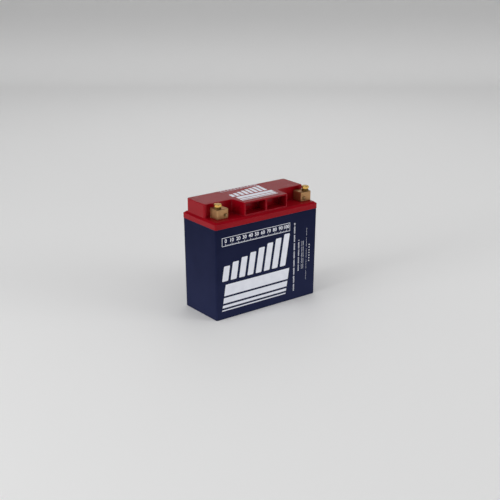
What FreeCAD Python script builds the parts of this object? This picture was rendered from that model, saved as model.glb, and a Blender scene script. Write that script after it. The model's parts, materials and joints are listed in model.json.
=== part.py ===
"""Motorcycle battery with lithium cells: a moulded case and cover, two brass terminals and the cell pack.

Frame, in millimetres: the origin is on the base, at the middle of the outline. +X runs along the battery to
the positive terminal, -Y is the front, where the terminals stand, and +Z is up.
The sizes are worked out from the inside: cells, cell pack, case, cover. Each sub-part is one STEP file.
"""
import FreeCAD, Part
import math
import os

V = FreeCAD.Vector
ALONG_X = V(1, 0, 0)
ALONG_Y = V(0, 1, 0)
UP = V(0, 0, 1)
DOWN = V(0, 0, -1)

# ---------------------------------------------------------------- driving dimensions, mm
# Cells and the two moulded holders that carry their ends
cell_radius = 16.1
cell_length = 67.5
cell_columns = 4  # groups in series, side by side along X
cell_rows = 4  # cells in parallel in each group
cap_radius = 6.0
cap_height = 1.0
socket_clearance = 0.25
socket_web = 1.3  # plastic between neighbouring sockets
holder_border = 0.5  # plastic outside the outermost pitch
holder_depth = 10.0
holder_lip = 1.2  # rim that keeps each cell in its socket
holder_corner = 4.0
vent_radius = 4.5

# Nickel strips welded across the cell ends
strip_thickness = 0.3
strip_pad = 26.0
strip_neck = 16.0
strip_channel_clearance = 0.5
weld_slit_width = 1.2
weld_slit_length = 13.0
sense_tab_width = 6.0
sense_tab_fold = 5.0
power_tab_height = 15.0
power_tab_reach = 13.5  # how far the tab stands out of the pack
sheet_thickness = 0.5

# Rods and screws that draw the two holders together
rod_flats = 6.0
screw_radius = 1.5
screw_clearance = 0.2
screw_head_radius = 2.75
screw_head_height = 1.8
screw_length = 12.0

# Case
case_wall = 2.5
case_floor = 3.0
case_draft = 1.15  # lean of each wall from base to rim
case_corner = 3.0
inner_corner = 0.8  # radius inside the case
base_edge_round = 0.8
locating_rib_height = 1.2
locating_rib_width = 2.0
locating_rib_top_gap = 14.0
rib_fit = 0.3
board_space = 25.45  # room for the protection board, at the negative end
end_space = 15.45  # room for the positive lead and its foam block
bottom_pad_thickness = 1.5

# Joint between case and cover
cover_overhang = 0.4  # how far the cover's band stands out from the case
tongue_thickness = 1.0
tongue_height = 2.5
groove_clearance = 0.2
adhesive_thickness = 0.6

# Cover
cover_wall = 2.2
band_height = 7.2
shoulder_rise = 2.7
shoulder_run = 3.5
shoulder_corner = 2.0
headroom = 2.7  # from the top of the cell pack to the underside of the ledge
deck_rise = 20.0
deck_back_inset = 6.0
deck_front_inset = 31.0
deck_corner = 3.5
deck_edge_round = 1.0
projection_inset = 5.0
projection_front_half = 39.0
projection_back_half = 41.4
projection_corner = 1.6
deck_inner_corner = 3.0  # where the projection meets the bar
pocket_width = 35.8
pocket_depth = 17.0
pocket_rib = 2.4  # web between the two pockets
pocket_sill = 1.9
pocket_roof = 1.8
pocket_corner = 1.4
pocket_draft = 0.4
pocket_back_round = 1.0  # where the walls meet the back
deck_rib_thickness = 1.6
deck_rib_height = 12.2
deck_rib_count = 5

# Brass terminal blocks
block_width = 19.0
block_depth = 18.2
block_height = 14.5
block_edge = 0.6
block_wall_gap = 0.4  # from the block to the wall behind it
negative_post_gap = 7.9  # from the pack's end to the post's axis
positive_post_gap = 7.1
bolt_offset = 4.0  # bolt axis, outwards from the middle of the block
bolt_forward = 2.2  # bolt axis, towards the front from the middle of the block
side_hole_offset = 4.2  # front hole axis, inwards from the middle of the block
side_hole_height = 5.2
side_hole_radius = 2.5
side_hole_depth = 10.0
hole_countersink = 0.6
stem_radius = 3.0
stem_clearance = 0.3
boss_radius = 8.0
boss_depth = 2.0
seal_section = 1.4
seal_seat_radius = 5.0

# Terminal bolts and their captive washers
bolt_radius = 2.95
bolt_bore_clearance = 0.05
bolt_length = 14.0
bolt_hole_depth = 12.5
bolt_flats = 10.0
bolt_head_height = 4.0
bolt_face_height = 0.5
bolt_tip = 0.8
negative_head_turn = 11.0  # degrees each head was left turned when it was tightened
positive_head_turn = 15.0
washer_thickness = 1.6
washer_radius = 5.2
washer_clearance = 0.3
spring_washer_thickness = 1.5
spring_washer_radius = 4.2
spring_washer_slit = 0.6
spring_washer_slant = 30.0  # degrees, lean of the slit

# Nuts, washers and lugs under the cover
nut_flats = 10.0
nut_height = 4.5
inner_washer_radius = 6.0
inner_washer_thickness = 1.0
lug_thickness = 1.2
lug_radius = 5.5
lug_neck_width = 5.0
barrel_radius = 2.6
barrel_length = 4.0
barrel_start = 6.5  # from the post's axis
stem_thread_out = 0.8

# Leads
lead_radius = 1.9
stud_radius = 3.0
stud_length = 7.5

# Protection board, at the negative end
frame_depth = 6.0
frame_overlap = 6.25
frame_bar = 5.0
board_thickness = 1.6
board_height = 106.0
board_margin = 1.0
board_screw_inset = 3.5
post_size = 8.0
post_height = 10.0
post_gap = 1.0  # from the cell lead's post to the heat plate
transistor_count = 5
transistor_pitch = 12.0
transistor_length = 10.0
transistor_width = 9.0
transistor_height = 4.4
heat_plate_thickness = 2.0
heat_plate_margin = 3.0
shunt_length = 6.4
shunt_width = 3.2
shunt_height = 0.8
chip_size = 6.0
chip_height = 1.2
connector_width = 12.0
connector_height = 6.0
connector_depth = 5.0
flex_thickness = 0.3
flex_trunk = 8.0
end_foam_height = 74.0
foam_fit = 0.3

# ---------------------------------------------------------------- derived sizes and places
pitch = 2 * (cell_radius + socket_clearance) + socket_web
pack_width = cell_columns * pitch + 2 * holder_border
pack_height = cell_rows * pitch + 2 * holder_border
cell_end_y = cell_length / 2
holder_inner_y = cell_end_y - holder_depth
holder_outer_y = cell_end_y + holder_lip
pack_half_depth = holder_outer_y + sheet_thickness

inner_length = board_space + pack_width + end_space
inner_width = 2 * (pack_half_depth + rib_fit + locating_rib_height)
base_length = inner_length + 2 * case_wall
base_width = inner_width + 2 * case_wall
rim_length = base_length + 2 * case_draft
rim_width = base_width + 2 * case_draft
cover_length = rim_length + 2 * cover_overhang
cover_width = rim_width + 2 * cover_overhang

pack_left = -inner_length / 2 + board_space
pack_right = pack_left + pack_width
pack_bottom = case_floor + bottom_pad_thickness
pack_top = pack_bottom + pack_height
column_x = [pack_left + holder_border + pitch * (i + 0.5) for i in range(cell_columns)]
row_z = [pack_bottom + holder_border + pitch * (i + 0.5) for i in range(cell_rows)]

ledge_under = pack_top + headroom
ledge_z = ledge_under + cover_wall
band_top = ledge_z - shoulder_rise
case_height = band_top - band_height
deck_z = ledge_z + deck_rise
deck_under = deck_z - cover_wall
deck_end_x = cover_length / 2 - shoulder_run
deck_back_y = cover_width / 2 - deck_back_inset
deck_front_y = -cover_width / 2 + deck_front_inset
projection_y = -cover_width / 2 + projection_inset
pocket_floor = ledge_z + pocket_sill
pocket_top = deck_z - pocket_roof
pocket_back_y = projection_y + pocket_depth

negative_x = pack_left - negative_post_gap
positive_x = pack_right + positive_post_gap
block_y = deck_front_y - block_wall_gap - block_depth / 2
block_front_y = block_y - block_depth / 2
block_top = ledge_z + block_height
head_under = block_top + washer_thickness + spring_washer_thickness
bolt_y = block_y - bolt_forward
boss_under = ledge_under - boss_depth
lug_top = boss_under - inner_washer_thickness
nut_top = lug_top - lug_thickness
nut_bottom = nut_top - nut_height
barrel_z = nut_top - barrel_radius / 4
lug_end_y = block_y + barrel_start + barrel_length

strip_y = cell_end_y + strip_thickness
frame_half = holder_inner_y + frame_overlap
board_half = frame_half - board_margin
board_bottom = (pack_bottom + nut_bottom - board_height) / 2
board_top = board_bottom + board_height
board_inner_x = pack_left - frame_depth
board_outer_x = board_inner_x - board_thickness
post_x = board_outer_x - post_size / 2
transistor_row_y = board_half - board_screw_inset - screw_head_radius - transistor_width / 2
plate_half = transistor_width / 2 + heat_plate_margin
cell_post_y = transistor_row_y - plate_half - post_gap - post_size / 2
positive_tab_z = row_z[2]
negative_tab_z = row_z[1]
stud_end_y = -cell_end_y + stud_length
flex_z = pack_top + strip_thickness
foam_top_z = flex_z + flex_thickness


# ---------------------------------------------------------------- shape helpers
def box(x_range, y_range, z_range):
    """Box between the two ends of each range."""
    size = [high - low for low, high in (x_range, y_range, z_range)]
    return Part.makeBox(*size, V(x_range[0], y_range[0], z_range[0]))


def rectangle(length, width, radius, centre=(0.0, 0.0)):
    """Corners of a rounded rectangle, as (x, y, radius), anticlockwise."""
    x, y = centre
    signs = [(1, 1), (-1, 1), (-1, -1), (1, -1)]
    return [(x + sx * length / 2, y + sy * width / 2, radius) for sx, sy in signs]


def outline(corners, z):
    """Closed wire at height z through corners (x, y, radius), each turned by an arc of its radius."""
    spans = []
    for i, (x, y, radius) in enumerate(corners):
        corner = V(x, y, z)
        after = corners[(i + 1) % len(corners)]
        back = (V(corners[i - 1][0], corners[i - 1][1], z) - corner).normalize()
        ahead = (V(after[0], after[1], z) - corner).normalize()
        half = back.getAngle(ahead) / 2
        reach = radius / math.tan(half)
        inward = (back + ahead).normalize()
        middle = corner + inward * (radius / math.sin(half) - radius)
        spans.append((corner + back * reach, middle, corner + ahead * reach, radius))
    edges = []
    for i, (start, middle, end, radius) in enumerate(spans):
        if radius > 0:
            edges.append(Part.Arc(start, middle, end).toShape())
        next_start = spans[(i + 1) % len(spans)][0]
        if end.distanceToPoint(next_start) > 1e-6:
            edges.append(Part.LineSegment(end, next_start).toShape())
    return Part.Wire(edges)


def prism(corners, z_low, z_high):
    """Rounded outline extruded between two heights."""
    return Part.Face(outline(corners, z_low)).extrude(V(0, 0, z_high - z_low))


def taper(low_corners, z_low, high_corners, z_high):
    """Solid between two rounded outlines with the same number of corners."""
    return Part.makeLoft([outline(low_corners, z_low), outline(high_corners, z_high)], True, True)


def rim_ring(length, width, corner, inset, thickness, z_low, z_high):
    """Ring that follows a rounded rectangle, its outer face standing in by inset."""
    outer_corner = max(corner - inset, thickness + 0.2)
    outer = prism(rectangle(length - 2 * inset, width - 2 * inset, outer_corner), z_low, z_high)
    hole_inset = inset + thickness
    hole_corners = rectangle(length - 2 * hole_inset, width - 2 * hole_inset, outer_corner - thickness)
    return outer.cut(prism(hole_corners, z_low, z_high))


def upright(shape, y):
    """Shape drawn as (x, z) on the ground, stood up so that its ground plane faces front at y."""
    stood = shape.copy()
    stood.rotate(V(0, 0, 0), ALONG_X, 90)
    stood.translate(V(0, y, 0))
    return stood


def hexagon(flats, centre, height):
    """Six-sided prism standing on centre, with two flats facing the front and back."""
    corner = flats / math.sqrt(3)
    angles = [math.radians(60 * i) for i in range(6)]
    points = [centre + V(corner * math.cos(a), corner * math.sin(a), 0) for a in angles]
    return Part.Face(Part.makePolygon(points + points[:1])).extrude(V(0, 0, height))


def edges_at(shape, z):
    """Edges that lie wholly at one height."""
    return [e for e in shape.Edges if all(abs(v.Point.z - z) < 1e-5 for v in e.Vertexes)]


def fused(shapes):
    """One clean solid from touching shapes."""
    first, *others = shapes
    return first.multiFuse(others).removeSplitter() if others else first


def save(node, *shapes):
    """Write one sub-part, which may be a group of separate solids."""
    solids = [solid for shape in shapes for solid in shape.Solids]
    shape = solids[0] if len(solids) == 1 else Part.makeCompound(solids)
    if not shape.isValid() or not solids:
        raise ValueError(f"{node} is not a valid solid")
    shape.exportStep(f"parts/{node}.step")


def mirrored_pair(make, sides=(-1, 1)):
    """The same piece made once for each side."""
    return [make(side) for side in sides]


# ---------------------------------------------------------------- case
def case_block(inset, corner, z_low):
    """The case's tapered outline, moved in by inset, from z_low up to the rim."""
    low_share = 1 - z_low / case_height
    low_inset = inset + case_draft * low_share
    low = rectangle(rim_length - 2 * low_inset, rim_width - 2 * low_inset, corner)
    high = rectangle(rim_length - 2 * inset, rim_width - 2 * inset, corner)
    return taper(low, z_low, high, case_height)


def make_case():
    """Open box with leaning walls, locating ribs inside and a tongue along its rim."""
    outer = case_block(0.0, case_corner, 0.0)
    outer = outer.makeFillet(base_edge_round, edges_at(outer, 0.0))
    ribs = []
    for x in column_x:
        for side in (-1, 1):
            face_y = side * (pack_half_depth + rib_fit)
            y_range = sorted((face_y, side * rim_width / 2))
            half = locating_rib_width / 2
            rib = box((x - half, x + half), y_range, (case_floor, pack_top - locating_rib_top_gap))
            ribs.append(rib.common(outer))
    shell = outer.cut(case_block(case_wall, inner_corner, case_floor))
    tongue_inset = (case_wall - tongue_thickness) / 2
    tongue_top = case_height + tongue_height
    tongue = rim_ring(
        rim_length, rim_width, case_corner, tongue_inset, tongue_thickness, case_height, tongue_top
    )
    return fused([shell, tongue] + ribs)


def make_rim_adhesive():
    """Bead of adhesive between the tongue's top and the bottom of the cover's groove."""
    inset = (case_wall - tongue_thickness) / 2 - groove_clearance
    width = tongue_thickness + 2 * groove_clearance
    z_low = case_height + tongue_height
    return rim_ring(rim_length, rim_width, case_corner, inset, width, z_low, z_low + adhesive_thickness)


# ---------------------------------------------------------------- cover
def deck_corners():
    """Plan of the raised deck: a bar along the back with a flared projection in front."""
    return [
        (deck_end_x, deck_back_y, deck_corner),
        (-deck_end_x, deck_back_y, deck_corner),
        (-deck_end_x, deck_front_y, deck_corner),
        (-projection_back_half, deck_front_y, deck_inner_corner),
        (-projection_front_half, projection_y, projection_corner),
        (projection_front_half, projection_y, projection_corner),
        (projection_back_half, deck_front_y, deck_inner_corner),
        (deck_end_x, deck_front_y, deck_corner),
    ]


def make_pocket(side):
    """One of the two open pockets in the front of the projection, slightly smaller at its back."""
    height = pocket_top - pocket_floor
    centre = (side * (pocket_rib + pocket_width) / 2, (pocket_floor + pocket_top) / 2)
    mouth = rectangle(pocket_width, height, pocket_corner, centre)
    back = rectangle(pocket_width - pocket_draft, height - pocket_draft, pocket_corner, centre)
    pocket = taper(back, 0.0, mouth, pocket_depth)
    pocket = pocket.makeFillet(pocket_back_round, edges_at(pocket, 0.0))
    return upright(pocket, pocket_back_y)


def make_deck_cavity():
    """Hollow of the cover: under the ledge, inside the deck and behind the pockets."""
    rim = rectangle(rim_length - 2 * case_wall, rim_width - 2 * case_wall, inner_corner)
    under_ledge = prism(rim, case_height, ledge_under)
    middle_y = (deck_front_y + deck_back_y) / 2
    deck_size = (2 * (deck_end_x - cover_wall), deck_back_y - deck_front_y - 2 * cover_wall)
    deck = rectangle(*deck_size, deck_corner - cover_wall, (0.0, middle_y))
    inside_deck = prism(deck, ledge_under, deck_under)
    pocket_half = pocket_rib / 2 + pocket_width
    behind_y = (pocket_back_y + cover_wall, deck_front_y + cover_wall)
    behind = box((-pocket_half, pocket_half), behind_y, (ledge_under, deck_under))
    below_y = (projection_y + cover_wall, deck_front_y + cover_wall)
    below = box((-pocket_half, pocket_half), below_y, (ledge_under, pocket_floor - cover_wall))
    return fused([under_ledge, inside_deck, behind, below])


def make_deck_ribs():
    """Stiffening ribs under the deck, across it and one along it."""
    z_range = (deck_under - deck_rib_height, deck_z - cover_wall / 2)
    half = deck_rib_thickness / 2
    y_range = (deck_front_y + cover_wall / 2, deck_back_y - cover_wall / 2)
    step = 2 * deck_end_x / (deck_rib_count + 1)
    across = [-deck_end_x + step * (i + 1) for i in range(deck_rib_count)]
    ribs = [box((x - half, x + half), y_range, z_range) for x in across]
    middle_y = (deck_front_y + deck_back_y) / 2
    x_range = (-deck_end_x + cover_wall / 2, deck_end_x - cover_wall / 2)
    ribs.append(box(x_range, (middle_y - half, middle_y + half), z_range))
    return ribs


def make_cover():
    """Moulded cover: rim band, sloping shoulder, ledge for the terminals and deck with two pockets."""
    plan = rectangle(cover_length, cover_width, case_corner)
    top_size = (cover_length - 2 * shoulder_run, cover_width - 2 * shoulder_run)
    band = prism(plan, case_height, band_top)
    shoulder = taper(plan, band_top, rectangle(*top_size, shoulder_corner), ledge_z)
    deck = prism(deck_corners(), band_top, deck_z)
    deck = deck.makeFillet(deck_edge_round, edges_at(deck, deck_z))
    shell = fused([band, shoulder, deck]).cut(make_deck_cavity())
    bosses = []
    holes = mirrored_pair(make_pocket)
    for x in (negative_x, positive_x):
        boss_foot = V(x, block_y, boss_under)
        bosses.append(Part.makeCylinder(boss_radius, boss_depth, boss_foot))
        holes.append(Part.makeCylinder(stem_radius + stem_clearance, deck_z - boss_under, boss_foot))
        holes.append(Part.makeCylinder(seal_seat_radius, deck_rise, V(x, block_y, ledge_z - seal_section)))
    groove_inset = cover_overhang + (case_wall - tongue_thickness) / 2 - groove_clearance
    groove_width = tongue_thickness + 2 * groove_clearance
    groove_top = case_height + tongue_height + adhesive_thickness
    groove = rim_ring(
        cover_length, cover_width, case_corner + cover_overhang, groove_inset, groove_width,
        case_height, groove_top,
    )
    whole = fused([shell] + make_deck_ribs() + bosses)
    for hole in holes + [groove]:
        whole = whole.cut(hole)
    return whole


# ---------------------------------------------------------------- terminals
def make_block(x, outward):
    """Brass block with a bolt hole in its top, a tapped hole in its front and a stem through the cover."""
    x_range = (x - block_width / 2, x + block_width / 2)
    body = box(x_range, (block_front_y, block_front_y + block_depth), (ledge_z, block_top))
    body = body.makeChamfer(block_edge, body.Edges)
    stem_bottom = nut_bottom - stem_thread_out
    stem = Part.makeCylinder(stem_radius, ledge_z + block_edge - stem_bottom, V(x, block_y, stem_bottom))
    bore_radius = bolt_radius + bolt_bore_clearance
    bolt_top = V(x + outward * bolt_offset, bolt_y, block_top)
    bolt_bore = Part.makeCylinder(bore_radius, bolt_hole_depth, bolt_top, DOWN)
    bolt_sink = Part.makeCone(bore_radius + hole_countersink, bore_radius, hole_countersink, bolt_top, DOWN)
    side_x = x - outward * side_hole_offset
    mouth = V(side_x, block_front_y, ledge_z + side_hole_height)
    side_bore = Part.makeCylinder(side_hole_radius, side_hole_depth, mouth, ALONG_Y)
    sink_radius = side_hole_radius + hole_countersink
    side_sink = Part.makeCone(sink_radius, side_hole_radius, hole_countersink, mouth, ALONG_Y)
    block = fused([body, stem])
    for hole in (bolt_bore, bolt_sink, side_bore, side_sink):
        block = block.cut(hole)
    return block


def make_bolt(x, outward, head_turn):
    """Hexagon-head bolt: chamfered head, washer face, plain shank at the thread's size."""
    axis = V(x + outward * bolt_offset, bolt_y, head_under)
    head = hexagon(bolt_flats, axis + V(0, 0, bolt_face_height), bolt_head_height - bolt_face_height)
    corner = bolt_flats / math.sqrt(3)
    slope = math.tan(math.radians(30))
    crown_radius = bolt_flats / 2 * 0.95
    cone_height = (corner - crown_radius) * slope
    head_top = head_under + bolt_head_height
    crown_foot = V(axis.x, axis.y, head_top - cone_height)
    crown = Part.makeCone(corner, crown_radius, cone_height, crown_foot)
    column = Part.makeCylinder(corner, bolt_head_height - cone_height, axis)
    head = head.common(column.fuse(crown))
    face = Part.makeCylinder(bolt_flats / 2, bolt_face_height, axis)
    tip_z = head_under - bolt_length
    shank = Part.makeCylinder(bolt_radius, bolt_length - bolt_tip, V(axis.x, axis.y, tip_z + bolt_tip))
    tip = Part.makeCone(bolt_radius - bolt_tip, bolt_radius, bolt_tip, V(axis.x, axis.y, tip_z))
    bolt = fused([head, face, shank, tip])
    bolt.rotate(axis, UP, head_turn)
    return bolt


def make_disc_ring(outer_radius, bore_radius, height, foot):
    """Flat round ring, such as a washer."""
    disc = Part.makeCylinder(outer_radius, height, foot)
    return disc.cut(Part.makeCylinder(bore_radius, height, foot))


def make_spring_washer(foot):
    """Split spring washer pressed flat: a ring with one slanted slit, turned to the front."""
    bore_radius = bolt_radius + washer_clearance
    ring = make_disc_ring(spring_washer_radius, bore_radius, spring_washer_thickness, foot)
    reach = 2 * spring_washer_thickness
    slit = box((-spring_washer_slit / 2, spring_washer_slit / 2), (-spring_washer_radius, 0), (-reach, reach))
    slit.rotate(V(0, 0, 0), ALONG_Y, spring_washer_slant)
    slit.translate(foot + V(0, 0, spring_washer_thickness / 2))
    return ring.cut(slit)


def make_nut(x):
    """Plain hexagon nut on the stem under the cover."""
    foot = V(x, block_y, nut_bottom)
    return hexagon(nut_flats, foot, nut_height).cut(Part.makeCylinder(stem_radius, nut_height, foot))


def make_lug(x):
    """Ring lug on the stem, with its barrel pointing to the back."""
    ring = Part.makeCylinder(lug_radius, lug_thickness, V(x, block_y, nut_top))
    half = lug_neck_width / 2
    barrel_y = block_y + barrel_start
    neck = box((x - half, x + half), (block_y, barrel_y + barrel_length / 2), (nut_top, lug_top))
    barrel = Part.makeCylinder(barrel_radius, barrel_length, V(x, barrel_y, barrel_z), ALONG_Y)
    bore = Part.makeCylinder(stem_radius + stem_clearance, lug_thickness, V(x, block_y, nut_top))
    return fused([ring, neck, barrel]).cut(bore)


def save_terminal(name, x, outward, head_turn):
    """Write one terminal's block, bolt, washers, seal, nut and lug."""
    save(f"{name}_terminal_block", make_block(x, outward))
    save(f"{name}_bolt", make_bolt(x, outward, head_turn))
    washer_foot = V(x + outward * bolt_offset, bolt_y, block_top)
    washer_bore = bolt_radius + washer_clearance
    save(f"{name}_washer", make_disc_ring(washer_radius, washer_bore, washer_thickness, washer_foot))
    save(f"{name}_spring_washer", make_spring_washer(washer_foot + V(0, 0, washer_thickness)))
    seal_centre = V(x, block_y, ledge_z - seal_section / 2)
    seal_ring_radius = (stem_radius + stem_clearance + seal_seat_radius) / 2
    save(f"{name}_seal_ring", Part.makeTorus(seal_ring_radius, seal_section / 2, seal_centre, UP))
    inner_foot = V(x, block_y, lug_top)
    bore = stem_radius + stem_clearance
    save(f"{name}_inner_washer", make_disc_ring(inner_washer_radius, bore, inner_washer_thickness, inner_foot))
    save(f"{name}_inner_nut", make_nut(x))
    save(f"{name}_terminal_lug", make_lug(x))


# ---------------------------------------------------------------- cell pack
def make_cell(x, z, front_is_positive):
    """Cylindrical cell lying along Y, with its raised cap at the positive end."""
    profile = [
        (0.0, 0.0),
        (cell_radius, 0.0),
        (cell_radius, cell_length - cap_height),
        (cap_radius, cell_length - cap_height),
        (cap_radius, cell_length),
        (0.0, cell_length),
    ]
    points = [V(radius, along, 0) for radius, along in profile]
    cell = Part.Face(Part.makePolygon(points + points[:1])).revolve(V(0, 0, 0), ALONG_Y, 360)
    if front_is_positive:
        cell.rotate(V(0, 0, 0), ALONG_X, 180)
    cell.translate(V(x, cell_end_y if front_is_positive else -cell_end_y, z))
    return cell


def strip_plate(columns, grow, thickness):
    """Plate over whole columns of cells: a pad on each cell and necks between pads, widened by grow."""
    pad = strip_pad / 2 + grow
    neck = strip_neck / 2 + grow
    plates = []
    for x in columns:
        for z in row_z:
            plates.append(prism(rectangle(2 * pad, 2 * pad, 0.0, (x, z)), 0.0, thickness))
        plates.append(box((x - neck, x + neck), (row_z[0], row_z[-1]), (0.0, thickness)))
    for z in row_z:
        if len(columns) > 1:
            plates.append(box((columns[0], columns[-1]), (z - neck, z + neck), (0.0, thickness)))
    return plates


def strip_tabs(columns, power_side, power_z, grow, thickness):
    """Sense tab up to the holder's top and, on an end strip, the power tab out of the pack's side."""
    x = columns[0]
    half = sense_tab_width / 2 + grow
    tabs = [box((x - half, x + half), (row_z[-1], pack_top), (0.0, thickness))]
    if power_side:
        tab_end = (pack_left - power_tab_reach) if power_side < 0 else (pack_right + power_tab_reach)
        half = power_tab_height / 2 + grow
        x_range = sorted((x, tab_end + power_side * grow))
        tabs.append(box(x_range, (power_z - half, power_z + half), (0.0, thickness)))
    return tabs


def make_strip(columns, side, power_side=0, power_z=0.0):
    """Nickel strip against the cell ends on one side of the pack, with a slit across each weld."""
    flat = fused(strip_plate(columns, 0.0, strip_thickness)
                 + strip_tabs(columns, power_side, power_z, 0.0, strip_thickness))
    slit_x = weld_slit_width / 2
    slit_z = weld_slit_length / 2
    for x in columns:
        for z in row_z:
            slit = box((x - slit_x, x + slit_x), (z - slit_z, z + slit_z), (0.0, strip_thickness))
            flat = flat.cut(slit)
    face_y = -cell_end_y if side < 0 else strip_y
    half = sense_tab_width / 2
    fold_y = sorted((side * (strip_y - sense_tab_fold), side * strip_y))
    fold = box((columns[0] - half, columns[0] + half), fold_y, (pack_top, pack_top + strip_thickness))
    return fused([upright(flat, face_y), fold])


def interstices():
    """Middles of the gaps between four neighbouring cells, as (x, z)."""
    xs = [(a + b) / 2 for a, b in zip(column_x, column_x[1:])]
    zs = [(a + b) / 2 for a, b in zip(row_z, row_z[1:])]
    return [(x, z) for x in xs for z in zs]


def tie_places():
    """The four outer gaps between cells, where the holders are drawn together."""
    gaps = interstices()
    xs = (min(x for x, _ in gaps), max(x for x, _ in gaps))
    zs = (min(z for _, z in gaps), max(z for _, z in gaps))
    return [(x, z) for x in xs for z in zs]


def make_holder(side, strips):
    """Moulded tray for one end of all the cells: sockets, retaining lips, strip channels and vents."""
    depth = holder_depth + holder_lip
    middle = ((pack_left + pack_right) / 2, (pack_bottom + pack_top) / 2)
    front_y = -holder_inner_y if side < 0 else holder_outer_y
    plate = upright(prism(rectangle(pack_width, pack_height, holder_corner, middle), 0.0, depth), front_y)
    cuts = []
    inner_y = holder_inner_y if side > 0 else -cell_end_y
    for x in column_x:
        for z in row_z:
            socket_foot = V(x, inner_y, z)
            cuts.append(Part.makeCylinder(cell_radius + socket_clearance, holder_depth, socket_foot, ALONG_Y))
    channel_y = -cell_end_y if side < 0 else holder_outer_y
    for columns, power_side, power_z in strips:
        channel = strip_plate(columns, strip_channel_clearance, holder_lip)
        channel += strip_tabs(columns, power_side, power_z, strip_channel_clearance, holder_lip)
        cuts.append(upright(fused(channel), channel_y))
    ties = tie_places()
    plate_y = min(side * holder_inner_y, side * holder_outer_y)
    for x, z in interstices():
        radius = screw_radius + screw_clearance if (x, z) in ties else vent_radius
        cuts.append(Part.makeCylinder(radius, depth, V(x, plate_y, z), ALONG_Y))
    for cut in cuts:
        plate = plate.cut(cut)
    return plate


def make_tie_rod(x, z):
    """Six-sided rod between the holders, tapped at both ends."""
    rod = hexagon(rod_flats, V(0, 0, 0), 2 * holder_inner_y)
    bore_depth = screw_length - holder_depth - holder_lip + screw_head_height + 2.0
    for foot, direction in ((V(0, 0, 0), UP), (V(0, 0, 2 * holder_inner_y), DOWN)):
        rod = rod.cut(Part.makeCylinder(screw_radius, bore_depth, foot, direction))
    return upright(rod, holder_inner_y).translate(V(x, 0, z))


def make_tie_screw(x, z, side):
    """Pan-head screw sunk flush into a holder's outer face, its shank in the rod."""
    head_y = side * holder_outer_y
    inwards = V(0, -side, 0)
    head = Part.makeCylinder(screw_head_radius, screw_head_height, V(x, head_y, z), inwards)
    return head.fuse(Part.makeCylinder(screw_radius, screw_length, V(x, head_y, z), inwards)).removeSplitter()


def sink_screw_heads(holder, side):
    """Holder with a round sinking for each tie screw's head."""
    for x, z in tie_places():
        mouth = V(x, side * holder_outer_y, z)
        radius = screw_head_radius + screw_clearance
        holder = holder.cut(Part.makeCylinder(radius, screw_head_height, mouth, V(0, -side, 0)))
    return holder


def save_pack():
    """Write the cells, holders, strips, sheets and the rods and screws that hold them together."""
    for number, x in enumerate(column_x, start=1):
        front_is_positive = number % 2 == 0
        save(f"cell_group_{number}", *[make_cell(x, z, front_is_positive) for z in row_z])
    front_strips = {
        "negative_end_strip": (column_x[:1], -1, negative_tab_z),
        "link_strip_2_3": (column_x[1:3], 0, 0.0),
        "positive_end_strip": (column_x[3:], 1, positive_tab_z),
    }
    back_strips = {
        "link_strip_1_2": (column_x[:2], 0, 0.0),
        "link_strip_3_4": (column_x[2:], 0, 0.0),
    }
    for side, holder, strips in ((-1, "front_cell_holder", front_strips), (1, "back_cell_holder", back_strips)):
        save(holder, sink_screw_heads(make_holder(side, list(strips.values())), side))
        for name, (columns, power_side, power_z) in strips.items():
            save(name, make_strip(columns, side, power_side, power_z))
    middle = ((pack_left + pack_right) / 2, (pack_bottom + pack_top) / 2)
    sheet = prism(rectangle(pack_width, pack_height, holder_corner, middle), 0.0, sheet_thickness)
    save("front_insulation_sheet", upright(sheet, -holder_outer_y))
    save("back_insulation_sheet", upright(sheet, pack_half_depth))
    save("tie_rods", *[make_tie_rod(x, z) for x, z in tie_places()])
    save("tie_screws", *[make_tie_screw(x, z, side) for side in (-1, 1) for x, z in tie_places()])


# ---------------------------------------------------------------- protection board
def board_corners(inset):
    """Four corner places of the board as (y, z), moved in by inset."""
    ys = (-board_half + inset, board_half - inset)
    zs = (board_bottom + inset, board_top - inset)
    return [(y, z) for y in ys for z in zs]


def make_board_frame():
    """Moulded frame against the sides of both holders, with a screw hole in each corner."""
    x_range = (board_inner_x, pack_left)
    outer = box(x_range, (-frame_half, frame_half), (board_bottom - board_margin, board_top + board_margin))
    window_y = frame_half - frame_bar
    window_z = (board_bottom - board_margin + frame_bar, board_top + board_margin - frame_bar)
    frame = outer.cut(box(x_range, (-window_y, window_y), window_z))
    reach = board_screw_inset + screw_radius + board_margin
    for y, z in board_corners(board_screw_inset):
        y_range = sorted((y - math.copysign(reach, y), math.copysign(frame_half, y)))
        middle_z = (board_bottom + board_top) / 2
        end_z = board_bottom - board_margin if z < middle_z else board_top + board_margin
        z_range = sorted((z + math.copysign(reach, middle_z - z), end_z))
        frame = frame.fuse(box(x_range, y_range, z_range))
    for y, z in board_corners(board_screw_inset):
        frame = frame.cut(Part.makeCylinder(screw_radius, frame_depth, V(board_inner_x, y, z), ALONG_X))
    gate_half = connector_width / 2 + 1.0
    gate = box(x_range, (-gate_half, gate_half), (window_z[1] - connector_height, board_top + board_margin))
    return frame.cut(gate).removeSplitter()


def make_board():
    """Circuit board with a clearance hole in each corner."""
    z_range = (board_bottom, board_top)
    board = box((board_outer_x, board_inner_x), (-board_half, board_half), z_range)
    for y, z in board_corners(board_screw_inset):
        hole_foot = V(board_outer_x, y, z)
        radius = screw_radius + screw_clearance
        board = board.cut(Part.makeCylinder(radius, board_thickness, hole_foot, ALONG_X))
    return board


def make_board_screw(y, z):
    """Screw through the board into its frame."""
    seat = V(board_outer_x, y, z)
    head = Part.makeCylinder(screw_head_radius, screw_head_height, seat, V(-1, 0, 0))
    shank_length = board_thickness + frame_depth - 1.0
    return head.fuse(Part.makeCylinder(screw_radius, shank_length, seat, ALONG_X)).removeSplitter()


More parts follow.
